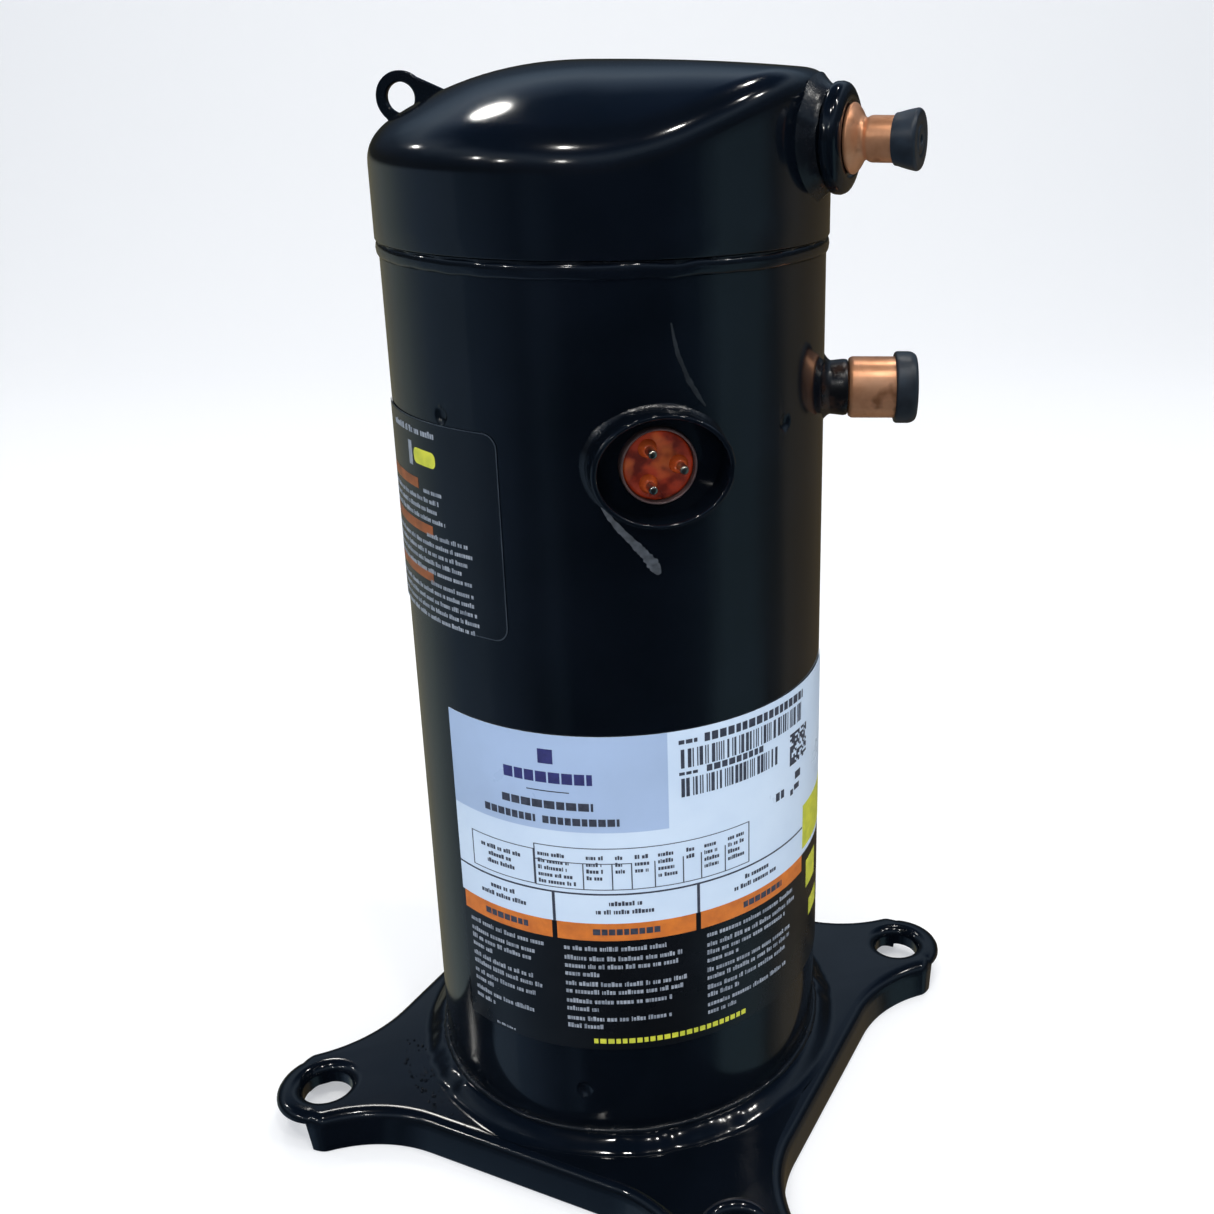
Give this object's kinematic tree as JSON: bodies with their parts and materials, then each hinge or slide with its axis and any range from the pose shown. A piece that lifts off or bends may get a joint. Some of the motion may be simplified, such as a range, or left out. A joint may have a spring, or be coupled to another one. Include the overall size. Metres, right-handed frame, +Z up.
{
  "type": "scroll compressor",
  "caption": "Hermetic scroll compressor: tall black shell on a four-footed base, domed cap with a raised side, copper suction and discharge stubs with plugs, oval terminal fence.",
  "frame": {"origin": "on the shell's axis, in the plane of the lower edges of the feet", "axes": "+Z up along the shell's axis, -Y towards the front foot and the electrical terminal, +X towards the right foot and the suction stub"},
  "size_m": [0.3104, 0.3104, 0.4238],
  "materials": {
    "black_paint": "gloss",
    "copper": "satin",
    "plug_rubber": "matte",
    "plain_steel": "satin",
    "cast_iron": "matte",
    "scroll_iron": "satin",
    "bearing_bronze": "satin",
    "insulator": "matte",
    "dark_plastic": "matte",
    "nickel": "satin",
    "lead_plastic": "matte",
    "laminations": "satin",
    "winding": "satin",
    "ferrite": "matte",
    "label_film": "satin",
    "caution_film": "satin"
  },
  "bodies": {
    "enclosure": {"base_plate": "black_paint", "caution_label": "caution_film", "center_shell": "black_paint", "counterweight_shield": "plain_steel", "discharge_boss": "black_paint", "discharge_tube": "copper", "lead_wire_1": "lead_plastic", "lead_wire_2": "lead_plastic", "lead_wire_3": "lead_plastic", "lifting_lug": "black_paint", "lower_bearing_bush": "bearing_bronze", "lower_bearing_housing": "cast_iron", "main_bearing_bush": "bearing_bronze", "main_bearing_housing": "cast_iron", "motor_protector": "dark_plastic", "nameplate_label": "label_film", "partition_plate": "black_paint", "pressure_relief_valve": "bearing_bronze", "scroll_bolt_1": "plain_steel", "scroll_bolt_2": "plain_steel", "scroll_bolt_3": "plain_steel", "scroll_bolt_4": "plain_steel", "stator_core": "laminations", "suction_baffle": "plain_steel", "suction_fitting": "black_paint", "suction_tube": "copper", "sump_magnet": "ferrite", "terminal_connector": "dark_plastic", "terminal_cup": "plain_steel", "terminal_fence": "black_paint", "terminal_insulator": "insulator", "terminal_pin_1": "nickel", "terminal_pin_2": "nickel", "terminal_pin_3": "nickel", "top_cap": "black_paint", "winding_lower": "winding", "winding_upper": "winding"},
    "crank": {"crankshaft": "plain_steel", "rotor": "laminations", "upper_counterweight": "cast_iron", "lower_counterweight": "cast_iron", "drive_bush": "plain_steel", "oil_pickup": "plain_steel"},
    "orbiting": {"orbiting_scroll": "scroll_iron", "orbiting_hub_bearing": "bearing_bronze"},
    "oldham_carrier": {"oldham_ring": "cast_iron"},
    "oldham_slider": {"oldham_key_1": "cast_iron", "oldham_key_2": "cast_iron", "oldham_key_3": "cast_iron", "oldham_key_4": "cast_iron"},
    "fixed_scroll": {"non_orbiting_scroll": "scroll_iron", "check_valve_retainer": "plain_steel"},
    "seal": {"floating_seal": "plain_steel"},
    "check_valve": {"check_valve_disc": "plain_steel"},
    "suction_cap": {"suction_plug": "plug_rubber"},
    "discharge_cap": {"discharge_plug": "plug_rubber"}
  },
  "joints": [
    {"name": "crank_spin", "type": "hinge", "parent": "enclosure", "child": "crank", "pos_m": [0, 0, 0.27], "axis": [0, 0, 1], "continuous": true},
    {"name": "scroll_orbit", "type": "hinge", "parent": "crank", "child": "orbiting", "pos_m": [0.005, 0, 0.3], "axis": [0, 0, 1], "continuous": true},
    {"name": "oldham_carrier_turn", "type": "hinge", "parent": "crank", "child": "oldham_carrier", "pos_m": [0.0025, 0, 0.311], "axis": [0, 0, 1], "continuous": true},
    {"name": "oldham_slide", "type": "hinge", "parent": "oldham_carrier", "child": "oldham_slider", "pos_m": [0.005, 0, 0.311], "axis": [0, 0, 1], "continuous": true},
    {"name": "scroll_lift", "type": "slide", "parent": "enclosure", "child": "fixed_scroll", "axis": [0, 0, 1], "range_m": [0, 0.0008]},
    {"name": "seal_lift", "type": "slide", "parent": "fixed_scroll", "child": "seal", "axis": [0, 0, 1], "range_m": [0, 0.0008]},
    {"name": "valve_lift", "type": "slide", "parent": "fixed_scroll", "child": "check_valve", "axis": [0, 0, 1], "range_m": [0, 0.0025]},
    {"name": "suction_plug_pull", "type": "slide", "parent": "enclosure", "child": "suction_cap", "axis": [0.9317, -0.3633, 0], "range_m": [0, 0.06]},
    {"name": "discharge_plug_pull", "type": "slide", "parent": "enclosure", "child": "discharge_cap", "axis": [0.7513, -0.66, 0], "range_m": [0, 0.06]}
  ],
  "couplings": [
    {"joint": "scroll_orbit", "follows": "crank_spin", "ratio": -1},
    {"joint": "oldham_carrier_turn", "follows": "crank_spin", "ratio": -2},
    {"joint": "oldham_slide", "follows": "crank_spin", "ratio": 1}
  ]
}
